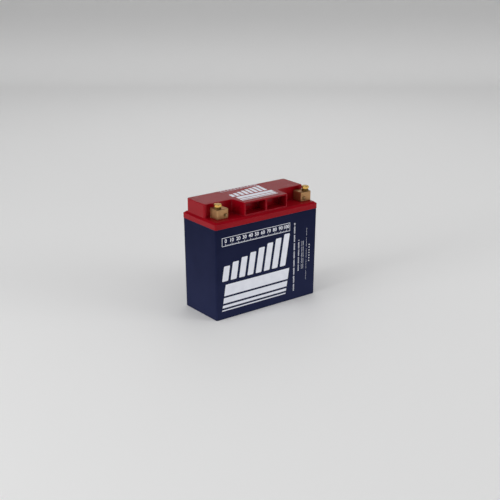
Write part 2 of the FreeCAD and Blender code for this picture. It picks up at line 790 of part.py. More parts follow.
def on_board(y, z, size_y, size_z, height):
    """Box standing on the board's outer face, centred at y and z."""
    x_range = (board_outer_x - height, board_outer_x)
    return box(x_range, (y - size_y / 2, y + size_y / 2), (z - size_z / 2, z + size_z / 2))


def save_board():
    """Write the board, what stands on it and the frame that carries it."""
    save("board_frame", make_board_frame())
    save("protection_board", make_board())
    save("board_screws", *[make_board_screw(y, z) for y, z in board_corners(board_screw_inset)])
    row_z0 = board_bottom + board_screw_inset + transistor_length / 2
    places = [row_z0 + transistor_pitch * i for i in range(transistor_count)]
    package = (transistor_width, transistor_length, transistor_height)
    packages = [on_board(transistor_row_y, z, *package) for z in places]
    save("switching_transistors", *packages)
    plate_x = board_outer_x - transistor_height
    plate_z = (places[0] - transistor_length / 2, places[-1] + transistor_length / 2)
    plate_y = (transistor_row_y - plate_half, transistor_row_y + plate_half)
    save("heat_plate", box((plate_x - heat_plate_thickness, plate_x), plate_y, plate_z))
    save("power_posts", make_post(cell_lead_points[-1], UP), make_post(negative_lead_points[-1], DOWN))
    shunt_z = board_top - frame_bar - chip_size
    shunts = [on_board(-chip_size * 2 + shunt_width * 2 * i, shunt_z, shunt_width, shunt_length, shunt_height)
              for i in range(3)]
    save("shunt_resistors", *shunts)
    chip_y = -board_half + board_screw_inset * 2 + chip_size
    chip_zs = [board_bottom + chip_size * 2, board_top - chip_size * 3]
    save("control_chips", *[on_board(chip_y, z, chip_size, chip_size, chip_height) for z in chip_zs])
    save("sense_connector", make_connector())
    save("sense_flex", make_flex())


def make_post(lead_end, direction):
    """Brass power post on the board that a lead ends against, standing on from the lead's end."""
    half = post_size / 2
    z_range = sorted((lead_end.z, lead_end.z + direction.z * post_height))
    return box((board_outer_x - post_size, board_outer_x), (lead_end.y - half, lead_end.y + half), z_range)


def make_connector():
    """Connector on the board's inner face that takes the sense circuit's foot."""
    z_top = board_top - frame_bar
    x_range = (board_inner_x, board_inner_x + connector_depth)
    return box(x_range, (-connector_width / 2, connector_width / 2), (z_top - connector_height, z_top))


def make_flex():
    """Flexible sense circuit: a foot up from the board, a bridge over the cells and a trunk on each holder."""
    z_range = (flex_z, flex_z + flex_thickness)
    foot_x = board_inner_x + connector_depth / 2
    foot_half = connector_width / 2 - 1.0
    foot_range = (board_top - frame_bar, flex_z + flex_thickness)
    foot = box((foot_x, foot_x + flex_thickness), (-foot_half, foot_half), foot_range)
    root = box((foot_x, pack_left + flex_trunk), (-foot_half, foot_half), z_range)
    trunk_y = (holder_inner_y + 1.0, holder_inner_y + 1.0 + flex_trunk)
    bridge = box((pack_left, pack_left + flex_trunk), (-trunk_y[1], trunk_y[1]), z_range)
    half_tab = sense_tab_width / 2
    front = box((pack_left, column_x[3] + half_tab), (-trunk_y[1], -trunk_y[0]), z_range)
    back = box((pack_left, column_x[2] + half_tab), trunk_y, z_range)
    return fused([foot, root, bridge, front, back])


# ---------------------------------------------------------------- leads
def smooth_path(points):
    """Path of straight runs joined by tangent arcs, each arc as large as its two runs allow."""
    edges = []
    radii = []
    start = points[0]
    for before, corner, after in zip(points, points[1:], points[2:]):
        back = (before - corner).normalize()
        ahead = (after - corner).normalize()
        half_turn = (math.pi - back.getAngle(ahead)) / 2
        reach = 0.45 * min(corner.distanceToPoint(before), corner.distanceToPoint(after))
        radius = reach / math.tan(half_turn)
        inward = (back + ahead).normalize()
        middle = corner + inward * (radius / math.cos(half_turn) - radius)
        arc_start = corner + back * reach
        arc_end = corner + ahead * reach
        edges.append(Part.LineSegment(start, arc_start).toShape())
        edges.append(Part.Arc(arc_start, middle, arc_end).toShape())
        radii.append(radius)
        start = arc_end
    edges.append(Part.LineSegment(start, points[-1]).toShape())
    return Part.Wire(edges), radii


def save_lead(node, points):
    """Write one insulated lead as a round tube along its route."""
    path, radii = smooth_path(points)
    heading = (points[1] - points[0]).normalize()
    circle = Part.Wire(Part.Circle(points[0], heading, lead_radius).toShape())
    tube = path.makePipeShell([circle], True, False)
    expected = math.pi * lead_radius ** 2 * path.Length
    print(f"{node}: length {path.Length:.1f}, volume {tube.Volume:.1f} of {expected:.1f}, radii",
          [round(radius, 1) for radius in radii])
    save(node, tube)


positive_lead_points = [
    V(positive_x, lug_end_y, barrel_z),
    V(positive_x, lug_end_y + 20.0, barrel_z),
    V(positive_x, lug_end_y + 34.5, barrel_z - 14.4),
    V(positive_x, lug_end_y + 34.0, barrel_z - 35.4),
    V(positive_x, lug_end_y + 10.0, positive_tab_z),
    V(positive_x, stud_end_y, positive_tab_z),
]
negative_lead_points = [
    V(negative_x, lug_end_y, barrel_z),
    V(negative_x, lug_end_y + 18.0, barrel_z),
    V(post_x, lug_end_y + 31.0, barrel_z - 13.4),
    V(post_x, lug_end_y + 31.0, barrel_z - 32.1),
]
cell_lead_points = [
    V(post_x, stud_end_y, negative_tab_z),
    V(post_x, cell_post_y - 14.0, negative_tab_z),
    V(post_x, cell_post_y, negative_tab_z + 13.0),
    V(post_x, cell_post_y, negative_tab_z + 32.0),
]


def save_leads():
    """Write the three leads and the studs on the power tabs."""
    save_lead("positive_lead", positive_lead_points)
    save_lead("negative_lead", negative_lead_points)
    save_lead("cell_lead", cell_lead_points)
    feet = (V(positive_x, -cell_end_y, positive_tab_z), V(post_x, -cell_end_y, negative_tab_z))
    save("tab_studs", *[Part.makeCylinder(stud_radius, stud_length, foot, ALONG_Y) for foot in feet])


# ---------------------------------------------------------------- foam
def save_foam():
    """Write the foam under, over and beside the cell pack."""
    pad = rectangle(inner_length - 2 * foam_fit, 2 * pack_half_depth, inner_corner)
    save("bottom_foam_pad", prism(pad, case_floor, pack_bottom))
    block_x = (pack_right + foam_fit, inner_length / 2 - foam_fit)
    block_y_half = holder_outer_y - foam_fit
    foam_z = (pack_bottom, pack_bottom + end_foam_height)
    save("end_foam_block", box(block_x, (-block_y_half, block_y_half), foam_z))
    x_range = (pack_left + flex_trunk + foam_fit, pack_right - flex_trunk)
    y_range = (deck_front_y + cover_wall + foam_fit, deck_back_y - cover_wall - foam_fit)
    save("top_foam_block", box(x_range, y_range, (foam_top_z, deck_under - deck_rib_height)))


def main():
    """Build and write every sub-part."""
    os.makedirs("parts", exist_ok=True)
    save("case", make_case())
    save("rim_adhesive", make_rim_adhesive())
    save("cover", make_cover())
    save_terminal("negative", negative_x, -1, negative_head_turn)
    save_terminal("positive", positive_x, 1, positive_head_turn)
    save_pack()
    save_board()
    save_leads()
    save_foam()


main()
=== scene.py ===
"""Looks of a motorcycle battery: finishes, printing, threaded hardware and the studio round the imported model.

Sizes in the classes are in millimetres and in the part's own frame: +X towards the positive terminal, -Y the
front, where the terminals stand, and +Z up. The studio's sizes are in metres.
"""
import json
import logging
import math
from dataclasses import dataclass
from enum import Enum

import bmesh
import bpy
import numpy as np
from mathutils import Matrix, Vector


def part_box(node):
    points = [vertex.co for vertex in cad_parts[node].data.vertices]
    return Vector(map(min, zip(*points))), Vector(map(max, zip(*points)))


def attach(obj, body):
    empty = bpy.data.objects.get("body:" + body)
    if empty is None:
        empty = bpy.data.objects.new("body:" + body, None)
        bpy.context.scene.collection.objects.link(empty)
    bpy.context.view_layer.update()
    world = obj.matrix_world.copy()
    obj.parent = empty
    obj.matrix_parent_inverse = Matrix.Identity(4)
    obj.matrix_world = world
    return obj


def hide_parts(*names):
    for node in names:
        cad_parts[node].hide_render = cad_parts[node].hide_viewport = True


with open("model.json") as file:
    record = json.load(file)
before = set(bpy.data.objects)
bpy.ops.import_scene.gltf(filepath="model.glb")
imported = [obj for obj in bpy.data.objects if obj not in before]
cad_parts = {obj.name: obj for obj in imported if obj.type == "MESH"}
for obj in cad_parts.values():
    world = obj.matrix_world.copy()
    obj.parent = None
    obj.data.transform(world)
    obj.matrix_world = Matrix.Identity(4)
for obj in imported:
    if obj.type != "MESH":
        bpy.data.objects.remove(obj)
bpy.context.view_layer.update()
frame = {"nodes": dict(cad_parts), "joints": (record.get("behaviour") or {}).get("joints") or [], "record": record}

LOG = logging.getLogger("battery")
MM = 0.001
# Points nearer than this, in metres, are one point.
MERGE_DISTANCE = 1e-7

Array = np.ndarray
Piece = bpy.types.Object
Material = bpy.types.Material
Tree = bpy.types.NodeTree
Socket = bpy.types.NodeSocket
Value = Socket | float | tuple[float, ...]
# Sockets of a Mix node: the share of B, then A, B and the result, once for numbers and once for colours.
SHARE = 0
NUMBER_A, NUMBER_B, NUMBER_RESULT = 2, 3, 0
COLOUR_A, COLOUR_B, COLOUR_RESULT = 6, 7, 2
MIX_COLOURS = {"data_type": "RGBA"}
# A MapRange node that starts and ends gently.
EASED = {"interpolation_type": "SMOOTHSTEP"}


# -------- small tools
def linear(colour: str) -> tuple[float, float, float, float]:
    """Turn an sRGB hex colour into the linear colour that a shader takes.

    The sRGB curve is a straight line for the darkest shares and a power of 2.4 above them.

    Args:
        colour: six hex digits, such as "#a1b2c3".

    Returns:
        Red, green, blue and an alpha of 1.
    """
    shares = np.array([int(colour[i:i + 2], 16) / 255 for i in (1, 3, 5)])
    curve = np.where(shares <= 0.04045, shares / 12.92, ((shares + 0.055) / 1.055) ** 2.4)
    return (*(float(share) for share in curve), 1.0)


def feed(node: bpy.types.Node, links: dict[str | int, Value]) -> None:
    """Give sockets of a node their values.

    Args:
        node: the node that is fed.
        links: for each socket's name or number, a value or the output that feeds it.
    """
    for socket, value in links.items():
        if isinstance(value, Socket):
            node.id_data.links.new(value, node.inputs[socket])
        else:
            node.inputs[socket].default_value = value


def add(tree: Tree, kind: str, settings: dict | None = None, links: dict | None = None) -> bpy.types.Node:
    """Add one node to a tree.

    Args:
        tree: the tree that gets the node.
        kind: the node's type, without the word ShaderNode.
        settings: the node's own attributes.
        links: what feeds its sockets, as in feed.

    Returns:
        The new node.
    """
    node = tree.nodes.new("ShaderNode" + kind)
    for attribute, value in (settings or {}).items():
        setattr(node, attribute, value)
    feed(node, links or {})
    return node


def put(name: str, data: bpy.types.ID) -> Piece:
    """Put a new object into the scene.

    Args:
        name: the object's name.
        data: the mesh, text, lamp or camera that it shows.

    Returns:
        The new object.
    """
    made = bpy.data.objects.new(name, data)
    bpy.context.scene.collection.objects.link(made)
    return made


def put_aimed(name: str, data: bpy.types.ID, place: Vector, target: Vector) -> Piece:
    """Put a lamp or a camera into the scene, looking from one place at another.

    Args:
        name: the object's name.
        data: the lamp or camera.
        place: where it stands, in metres.
        target: the point it looks at, in metres.

    Returns:
        The new object.
    """
    made = put(name, data)
    made.location = place
    made.rotation_euler = (target - place).to_track_quat("-Z", "Y").to_euler()
    return made


def box_mm(node: str) -> tuple[Array, Array]:
    """Lowest and highest corner of a CAD node, in millimetres."""
    low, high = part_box(node)
    return np.array(low) / MM, np.array(high) / MM


def mount_mm(name: str) -> Array:
    """Place of one of the record's mounts, in millimetres."""
    found = next(m for m in frame["record"]["mounts"] if m["name"] == name)
    return np.array(found["pos_m"]) / MM


@dataclass
class Shape:
    """Points, in millimetres, and the faces between them, before they become a mesh."""

    points: Array
    faces: list[tuple[int, ...]]

    def __add__(self, other: "Shape") -> "Shape":
        """Both shapes as one, the second with its face numbers moved on."""
        moved = [tuple(len(self.points) + i for i in face) for face in other.faces]
        return Shape(np.vstack([self.points, other.points]), self.faces + moved)

    def piece(self, name: str, body: str, material: Material, smooth_below: float = 0.0) -> Piece:
        """Make the object, merge its doubles, turn its faces outwards and let it ride.

        Args:
            name: the piece's name.
            body: the CAD body that it moves with.
            material: its finish.
            smooth_below: edges that turn by less than this many degrees are shaded smooth.

        Returns:
            The finished piece.
        """
        mesh = bpy.data.meshes.new(name)
        mesh.from_pydata(self.points * MM, [], self.faces)
        work = bmesh.new()
        work.from_mesh(mesh)
        bmesh.ops.remove_doubles(work, verts=work.verts, dist=MERGE_DISTANCE)
        bmesh.ops.recalc_face_normals(work, faces=work.faces)
        work.to_mesh(mesh)
        work.free()
        if smooth_below > 0:
            mesh.shade_smooth()
            mesh.set_sharp_from_angle(angle=math.radians(smooth_below))
        mesh.materials.append(material)
        made = put(name, mesh)
        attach(made, body)
        return made


def full_circle(columns: int) -> Array:
    """Directions all the way round, in radians, without the last one that repeats the first."""
    return np.linspace(0, 2 * math.pi, columns, endpoint=False)


def turned(radii: Array, heights: Array, angles: Array) -> Array:
    """Points of a surface turned about the upright axis: radius times cosine, radius times sine, height.

    Args:
        radii: rows x columns, or rows x 1 where a row is the same all round.
        heights: one for each row.
        angles: one for each column, in radians.

    Returns:
        Rows x columns x 3.
    """
    flat = radii * np.cos(angles), radii * np.sin(angles)
    return np.stack([*flat, np.broadcast_to(heights[:, None], flat[0].shape)], axis=-1)


def grid_shape(points: Array, close_rows: bool = False) -> Shape:
    """Shape of a grid that closes on itself along its columns.

    Args:
        points: array of rows x columns x 3.
        close_rows: whether the last row also joins the first.

    Returns:
        Quads between each point, its right neighbour and the two below them.
    """
    rows, columns = points.shape[:2]
    last = rows if close_rows else rows - 1
    row, column = np.meshgrid(np.arange(last), np.arange(columns), indexing="ij")
    below, right = (row + 1) % rows, (column + 1) % columns
    upper, lower = row * columns, below * columns
    quads = np.stack([upper + column, upper + right, lower + right, lower + column], axis=-1)
    return Shape(points.reshape(-1, 3), [tuple(quad) for quad in quads.reshape(-1, 4).tolist()])


# -------- finishes
class Relief(Enum):
    """What the fine relief of a surface looks like."""

    GRAIN = "grain"
    CELLS = "cells"
    FIBRES = "fibres"
    TRACES = "traces"


@dataclass(frozen=True)
class Finish:
    """A real material together with the way its surface was made.

    The pattern sizes are in millimetres. Patches are slow drifts of colour. Relief is the fine pattern that
    the bump and the gloss follow, drawn out to streaks on the axes where along is small. The edge colour
    shows along the edges, broken up by the relief, and the edges are shaded as if rounded; on the red cover
    and the milled blocks the edge colour is a painted highlight. Where rise is set, the patch colour also
    prevails at the foot of the part and gives way over that height, as painted light bounced up from the floor.
    """

    name: str
    colour: str
    patch_colour: str
    roughness: float
    patch: float = 25.0
    rise: float = 0.0
    gloss_spread: float = 0.06
    relief: Relief = Relief.GRAIN
    relief_size: float = 1.2
    relief_depth: float = 0.02
    along: tuple[float, float, float] = (1.0, 1.0, 1.0)
    metallic: float = 0.0
    ior: float = 1.5
    specular: float = 0.5
    coat: float = 0.0
    sheen: float = 0.0
    edge_colour: str = ""
    edge_share: float = 0.0
    edge_round: float = 0.0

    # Octaves of the slow noise, and the values of it that are taken as all one colour and all the other.
    PATCH_DETAIL = 3.0
    PATCH_LIMITS = {"From Min": 0.35, "From Max": 0.65}
    # How much of the patch colour's share comes from the height, where rise is set: painted bounce light at the
    # foot.
    FOOT_SHARE = 0.75
    # Octaves of grain and of fibres.
    GRAIN_DETAIL = 2.0
    FIBRE_DETAIL = 5.0
    # Circuit tracks: their gap as a share of the relief's size, its softness and the offset of the rows.
    TRACK_GAP = 0.06
    TRACK_SOFTNESS = 0.3
    TRACK_OFFSET = 0.37
    # Relief heights that have the least and the most roughness.
    GLOSS_LIMITS = {"From Min": 0.2, "From Max": 0.8}
    # Cosine between rounded and flat normal, away from an edge and on it, and the rounding's samples.
    EDGE_LIMITS = {"From Min": 0.995, "From Max": 0.9}
    EDGE_SAMPLES = 6

    def patch_share(self, tree: Tree, place: Socket) -> Socket:
        """Share of the patch colour: slow noise, and where rise is set a painted bounce light that fades up from
        the foot.

        Args:
            tree: the material's tree.
            place: the surface's own coordinates, in metres.

        Returns:
            The output that holds the share.
        """
        source = {"Vector": place, "Scale": 1 / (self.patch * MM), "Detail": self.PATCH_DETAIL}
        noise = add(tree, "TexNoise", None, source).outputs["Fac"]
        drift = add(tree, "MapRange", None, self.PATCH_LIMITS | {"Value": noise}).outputs["Result"]
        if self.rise == 0:
            return drift
        # Painted bounce light: the paler patch colour prevails at the foot and fades out over the rise.
        up = add(tree, "SeparateXYZ", None, {"Vector": place}).outputs["Z"]
        fade = {"Value": up, "From Max": self.rise * MM, "To Min": 1.0, "To Max": 0.0}
        foot = add(tree, "MapRange", None, fade).outputs["Result"]
        sides = {SHARE: self.FOOT_SHARE, NUMBER_A: drift, NUMBER_B: foot}
        return add(tree, "Mix", None, sides).outputs[NUMBER_RESULT]

    def relief_height(self, tree: Tree, place: Socket) -> Socket:
        """Height of the fine relief, from 0 to 1.

        Args:
            tree: the material's tree.
            place: the surface's own coordinates, in metres.

        Returns:
            The output that holds the height.
        """
        drawn_out = add(tree, "Mapping", None, {"Vector": place, "Scale": self.along}).outputs["Vector"]
        source = {"Vector": drawn_out, "Scale": 1 / (self.relief_size * MM)}
        if self.relief is Relief.CELLS:
            return add(tree, "TexVoronoi", {"feature": "SMOOTH_F1"}, source).outputs["Distance"]
        if self.relief is Relief.TRACES:
            tracks = source | {"Mortar Size": self.TRACK_GAP, "Mortar Smooth": self.TRACK_SOFTNESS}
            return add(tree, "TexBrick", {"offset": self.TRACK_OFFSET}, tracks).outputs["Fac"]
        detail = self.FIBRE_DETAIL if self.relief is Relief.FIBRES else self.GRAIN_DETAIL
        return add(tree, "TexNoise", None, source | {"Detail": detail}).outputs["Fac"]

    def soft_normal(self, tree: Tree) -> tuple[Socket, Socket]:
        """Normal rounded over the edges, and how far it turns from the flat faces.

        Args:
            tree: the material's tree.

        Returns:
            The rounded normal, and a mask that is 1 along the edges and 0 away from them.
        """
        reach = {"Radius": self.edge_round * MM}
        soft = add(tree, "Bevel", {"samples": self.EDGE_SAMPLES}, reach).outputs["Normal"]
        pair = {0: soft, 1: add(tree, "NewGeometry").outputs["Normal"]}
        agreement = add(tree, "VectorMath", {"operation": "DOT_PRODUCT"}, pair).outputs["Value"]
        limits = self.EDGE_LIMITS | {"Value": agreement}
        return soft, add(tree, "MapRange", None, limits).outputs["Result"]

    def worn_colour(self, tree: Tree, colour: Socket, edges: Socket, height: Socket) -> Socket:
        """Colour with the edge colour over it, by the product of edge mask, edge share and relief height: wear on
        some finishes, a painted highlight on others.

        Args:
            tree: the material's tree.
            colour: the colour away from the edges.
            edges: mask that is 1 along the edges.
            height: height of the fine relief.

        Returns:
            The output that holds the colour.
        """
        share = add(tree, "Math", {"operation": "MULTIPLY"}, {0: edges, 1: self.edge_share}).outputs[0]
        broken = add(tree, "Math", {"operation": "MULTIPLY"}, {0: share, 1: height}).outputs[0]
        sides = {SHARE: broken, COLOUR_A: colour, COLOUR_B: linear(self.edge_colour)}
        return add(tree, "Mix", MIX_COLOURS, sides).outputs[COLOUR_RESULT]

    def material(self) -> Material:
        """Build the material, once for all the pieces that have it.

        Returns:
            The material: colour, roughness and normal vary over the surface, and the rest is plain.
        """
        made = bpy.data.materials.get(self.name)
        if made:
            return made
        made = bpy.data.materials.new(self.name)
        made.use_nodes = True
        tree = made.node_tree
        place = add(tree, "TexCoord").outputs["Object"]
        share = self.patch_share(tree, place)
        height = self.relief_height(tree, place)
        sides = {SHARE: share, COLOUR_A: linear(self.colour), COLOUR_B: linear(self.patch_colour)}
        shown = add(tree, "Mix", MIX_COLOURS, sides).outputs[COLOUR_RESULT]
        raised = {"Height": height, "Distance": self.relief_depth * MM}
        if self.edge_round > 0:
            raised["Normal"], edges = self.soft_normal(tree)
            # On the red cover and the milled blocks this edge colour is a painted highlight.
            shown = self.worn_colour(tree, shown, edges, height)
        low, high = self.roughness - self.gloss_spread, self.roughness + self.gloss_spread
        gloss = self.GLOSS_LIMITS | {"Value": height, "To Min": low, "To Max": high}
        feed(tree.nodes["Principled BSDF"], {
            "Base Color": shown,
            "Roughness": add(tree, "MapRange", None, gloss).outputs["Result"],
            "Normal": add(tree, "Bump", None, raised).outputs["Normal"],
            "Metallic": self.metallic,
            "IOR": self.ior,
            "Specular IOR Level": self.specular,
            "Coat Weight": self.coat,
            "Sheen Weight": self.sheen,
        })
        return made


# ABS moulded in a lightly textured tool: satin, almost black blue, with faint flow patches. Towards the foot it is
# painted paler over the rise, standing in for light bounced up from the floor. Its real grain of about 0.3 mm is
# drawn at 1.4 mm so that it shows.
CASE_ABS = Finish(
    "moulded_abs_navy", "#171b35", "#262b49", roughness=0.50, patch=38.0, rise=140.0, relief_size=1.4,
    specular=0.03, edge_colour="#3a4058", edge_share=0.5, edge_round=0.4,
)
# ABS moulded in a polished tool: deep red with a clear, slightly wavy gloss. The waves are drawn at 5 mm.
# The pale pink along its edges is a painted highlight.
COVER_ABS = Finish(
    "moulded_abs_red", "#930516", "#8c0414", roughness=0.18, patch=30.0, relief_size=5.0, relief_depth=0.01,
    specular=0.15, edge_colour="#cf5a68", edge_share=0.7, edge_round=0.55, gloss_spread=0.03,
)
# Milled brass, left bare and gone dull brown: fine cutter lines run along the block and scatter the light.
# The real lines are about 0.2 mm apart and are drawn at 0.8 mm so that they show.
# The pale edge colour is a painted highlight along the block's edges.
MILLED_BRASS = Finish(
    "milled_brass", "#cca071", "#c09567", roughness=0.50, patch=6.0, relief_size=2.4, relief_depth=0.03,
    along=(0.25, 3.0, 3.0), metallic=1.0, gloss_spread=0.08, edge_colour="#f4d9b0", edge_share=1.0,
    edge_round=0.4,
)
# Turned and tumbled brass: bright, yellow and smooth.
BRIGHT_BRASS = Finish(
    "tumbled_brass", "#f2c870", "#e8ba62", roughness=0.17, patch=4.0, relief_size=0.9, relief_depth=0.006,
    metallic=1.0, gloss_spread=0.04,
)
# The same brass freshly cut by the tap in the cable holes: paler and a little rougher than the tumbled bolts.
CUT_BRASS = Finish(
    "tapped_brass", "#f8e6bc", "#efd9a8", roughness=0.30, patch=2.0, relief_size=0.5, relief_depth=0.004,
    metallic=1.0, gloss_spread=0.05,
)
# Brass stamped from strip for the washers: the same metal, gone dull, and darkened further than the turned bolts
# as painted shade under the bolt heads.
DULL_SHADED_BRASS = Finish(
    "stamped_brass_painted_shade", "#9a7a44", "#886937", roughness=0.45, patch=2.5, relief_size=0.7, relief_depth=0.01,
    metallic=1.0, edge_colour="#c7a768", edge_share=0.8, edge_round=0.15,
)
# Pad-printed ink: a thin, slightly chalky white film that lets a little of the texture below through.
PRINT_INK = Finish(
    "pad_printed_ink", "#eff1fa", "#e8eaf4", roughness=0.50, patch=10.0, relief_size=1.4,
    relief_depth=0.004,
)
# Rubber seal: black, dull, slightly bloomed.
SEAL_RUBBER = Finish("moulded_rubber", "#17171a", "#1e1e20", roughness=0.70, patch=5.0, relief_size=0.6)
# Two-part adhesive, cured in its groove: black and waxy.
RIM_ADHESIVE = Finish("cured_adhesive", "#1b1b1e", "#232326", roughness=0.45, patch=8.0, relief_size=2.0)
# Steel with bright zinc plating: pale, faintly blue, with a fine crystalline mottle.
ZINC_STEEL = Finish(
    "zinc_plated_steel", "#c3c6cb", "#b0b4bd", roughness=0.32, patch=3.0, relief=Relief.CELLS,
    relief_size=0.8, relief_depth=0.01, metallic=1.0,
)
# Stamped copper with a tin dip: whitish, soft and a little uneven.
TINNED_COPPER = Finish(
    "tin_dipped_copper", "#cfcbc2", "#bdb6a8", roughness=0.36, patch=2.5, relief_size=0.8, metallic=1.0,
)
# Silicone lead insulation, extruded: matt and dusty, with a fine grain.
RED_SILICONE = Finish(
    "extruded_silicone_red", "#b0201a", "#a31b18", roughness=0.58, patch=12.0, relief_size=0.7, sheen=0.15,
)
BLACK_SILICONE = Finish(
    "extruded_silicone_black", "#19191b", "#212124", roughness=0.58, patch=12.0, relief_size=0.7,
    sheen=0.15,
)
# Shrink sleeve of PVC over a steel can: glossy film with long shallow draw marks.
CELL_SLEEVE = Finish(
    "shrunk_pvc_sleeve", "#2a7f8c", "#26737f", roughness=0.28, patch=15.0, relief_size=1.5,
    along=(1.0, 0.1, 1.0), coat=0.3,
)
# Glass-filled ABS of the cell holders: matt black with pale fibre flecks.
HOLDER_ABS = Finish(
    "moulded_abs_black", "#1c1c1f", "#26262a", roughness=0.55, patch=9.0, relief=Relief.FIBRES,
    relief_size=1.6, relief_depth=0.03,
)
# Rolled nickel strip: warm grey metal with rolling lines along it.
NICKEL = Finish(
    "rolled_nickel", "#c9c4b8", "#b9b3a5", roughness=0.34, patch=7.0, relief_size=1.0,
    relief_depth=0.01, along=(0.15, 1.0, 2.0), metallic=1.0,
)
# Pressed fibre board: pale, dry sheet in which the fibres show.
FIBRE_BOARD = Finish(
    "pressed_fibre_board", "#c9c0a4", "#b7ad8f", roughness=0.80, patch=4.0, relief=Relief.FIBRES,
    relief_depth=0.04, along=(0.4, 1.0, 1.0),
)
# Glass laminate under green solder resist: glossy lacquer, with the tracks raised below it.
CIRCUIT_BOARD = Finish(
    "solder_resist_laminate", "#1f6b3d", "#195c34", roughness=0.32, patch=5.0, relief=Relief.TRACES,
    relief_size=5.0, relief_depth=0.05, coat=0.4,
)
# Moulded epoxy of the transistors and chips: near black, fine matt grain.
EPOXY = Finish("moulded_epoxy", "#202022", "#28282b", roughness=0.60, patch=2.5, relief_size=0.5)
# Aluminium sheet, bare and rolled: bright grey with rolling lines.
ALUMINIUM = Finish(
    "rolled_aluminium", "#d0d2d4", "#c2c5c8", roughness=0.34, patch=8.0, relief_size=0.9,
    relief_depth=0.01, along=(1.0, 1.0, 0.1), metallic=1.0,
)
# Natural nylon of the connector: milky and slightly waxy.
NYLON = Finish("moulded_nylon", "#e6e2d2", "#dcd7c4", roughness=0.45, patch=3.0, relief_size=0.6)
# Polyimide film with copper tracks inside: amber and glossy.
POLYIMIDE = Finish(
    "polyimide_film", "#c07a24", "#a96716", roughness=0.25, patch=3.0, relief=Relief.TRACES,
    relief_size=3.0, relief_depth=0.03, coat=0.4,
)
# Closed-cell foam, cut from sheet: black skinless cells.
FOAM = Finish(
    "cut_closed_cell_foam", "#202022", "#2a2a2d", roughness=0.92, patch=6.0, relief=Relief.CELLS,
    relief_size=1.6, relief_depth=0.25,
)

SLOT_FINISHES = {
    "case_abs": CASE_ABS,
    "cover_abs": COVER_ABS,
    "rim_adhesive": RIM_ADHESIVE,
    "terminal_brass": MILLED_BRASS,
    "bolt_brass": BRIGHT_BRASS,
    "seal_rubber": SEAL_RUBBER,
    "plated_steel": ZINC_STEEL,
    "tinned_copper": TINNED_COPPER,
    "red_silicone": RED_SILICONE,
    "black_silicone": BLACK_SILICONE,
    "cell_sleeve": CELL_SLEEVE,
    "holder_abs": HOLDER_ABS,
    "nickel": NICKEL,
    "insulation_board": FIBRE_BOARD,
    "circuit_board": CIRCUIT_BOARD,
    "epoxy_package": EPOXY,
    "heat_plate_aluminium": ALUMINIUM,
    "connector_nylon": NYLON,
    "flex_polyimide": POLYIMIDE,
    "black_foam": FOAM,
}


def dress_cad_nodes() -> None:
    """Give every CAD node the finish of its own material slot, and the brass washers a duller brass darkened as
    painted shade.
    """
    for part in frame["record"]["subparts"]:
        node, slot = part["node"], part["material_slot"]
        # The washers get the darker brass, which is painted shade under the bolt heads.
        stamped = slot == "bolt_brass" and node.endswith("washer")
        material = (DULL_SHADED_BRASS if stamped else SLOT_FINISHES[slot]).material()
        for holder in frame["nodes"][node].material_slots:
            holder.material = material
        LOG.info("%s: dressed as %s", node, material.name)


# -------- terminals
class Terminal(Enum):
    """The two terminals, by the first word of their nodes' names."""

    NEGATIVE = "negative"
    POSITIVE = "positive"


def thread_wave(turns: Array) -> Array:
    """Rounded V of a thread's flank, from 0 at the root to 1 at the crest.

    Args:
        turns: how many pitches along the thread each point is; only the part after the point counts.

    Returns:
        The mean of the triangle wave 1 - |2t - 1| and its smooth step, which eases crest and root.
    """
    triangle = 1 - np.abs(2 * (turns % 1.0) - 1)
    return 0.5 * triangle + 0.5 * triangle ** 2 * (3 - 2 * triangle)


